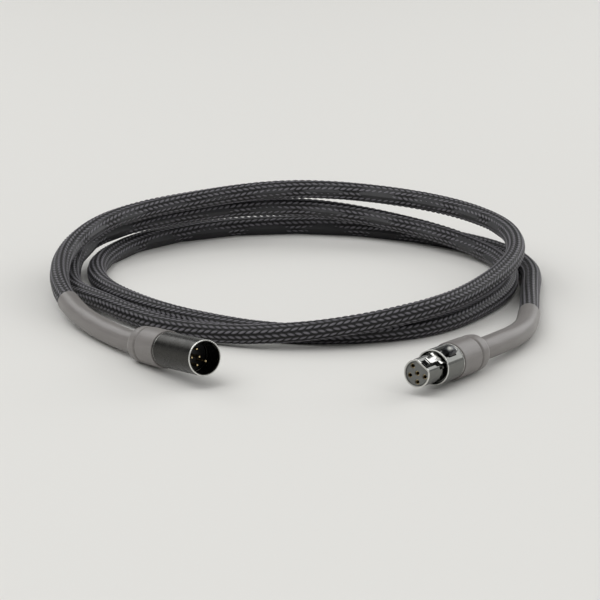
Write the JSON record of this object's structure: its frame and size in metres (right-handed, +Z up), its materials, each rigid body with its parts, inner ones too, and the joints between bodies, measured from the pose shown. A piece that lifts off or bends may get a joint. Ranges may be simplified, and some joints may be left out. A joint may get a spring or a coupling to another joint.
{
  "type": "coiled audio cable",
  "caption": "Braided audio cable lying in a loose coil, with a miniature pin plug on one end and a latching miniature socket plug on the other.",
  "frame": {"origin": "centre of the whole part's plan at the level of the surface it lies on", "axes": "+Z up, -Y towards the two plugs' mouths, +X towards the female plug's side"},
  "size_m": [0.1614, 0.2215, 0.0208],
  "materials": {
    "nylon_braid": "woven nylon sleeving",
    "cable_jacket": "smooth flexible jacket",
    "black_nickel_satin": "satin black nickel plating",
    "black_insulator": "moulded",
    "gold_contacts": "gold plated",
    "wire_insulation": "extruded",
    "collet_metal": "turned",
    "bushing_metal": "plated",
    "heat_shrink_grey": "shrunk, semi-matt",
    "black_chrome": "bright black chrome",
    "grey_insulator": "moulded",
    "latch_steel": "stamped and polished",
    "button_chrome": "bright plated",
    "screw_steel": "turned"
  },
  "bodies": {
    "root": {"cable_braid": "nylon_braid", "cable_core": "cable_jacket", "male_shell": "black_nickel_satin", "male_insert": "black_insulator", "male_pins": "gold_contacts", "male_wires": "wire_insulation", "male_chuck": "collet_metal", "male_bushing": "bushing_metal", "male_heat_shrink": "heat_shrink_grey", "female_shell": "black_chrome", "female_nose": "black_chrome", "female_insert": "grey_insulator", "female_sockets": "gold_contacts", "female_wires": "wire_insulation", "female_set_screw": "screw_steel", "female_chuck": "collet_metal", "female_bushing": "bushing_metal", "female_heat_shrink": "heat_shrink_grey"},
    "latch": {"latch_lever": "latch_steel"},
    "button": {"latch_button": "button_chrome"}
  },
  "joints": [
    {"name": "button_press", "type": "slide", "parent": "root", "child": "button", "axis": [-0.4972, 0.2582, -0.8283], "range_m": [0, 0.00044], "stiffness_N_per_m": 300, "springref_m": -0.0004},
    {"name": "latch_swing", "type": "hinge", "parent": "root", "child": "latch", "pos_m": [0.04727, -0.09319, 0.00966], "axis": [0.6986, -0.4471, -0.5587], "range_deg": [0, 5]}
  ],
  "couplings": [
    {"joint": "latch_swing", "follows": "button_press", "rad_per_m": 196}
  ]
}
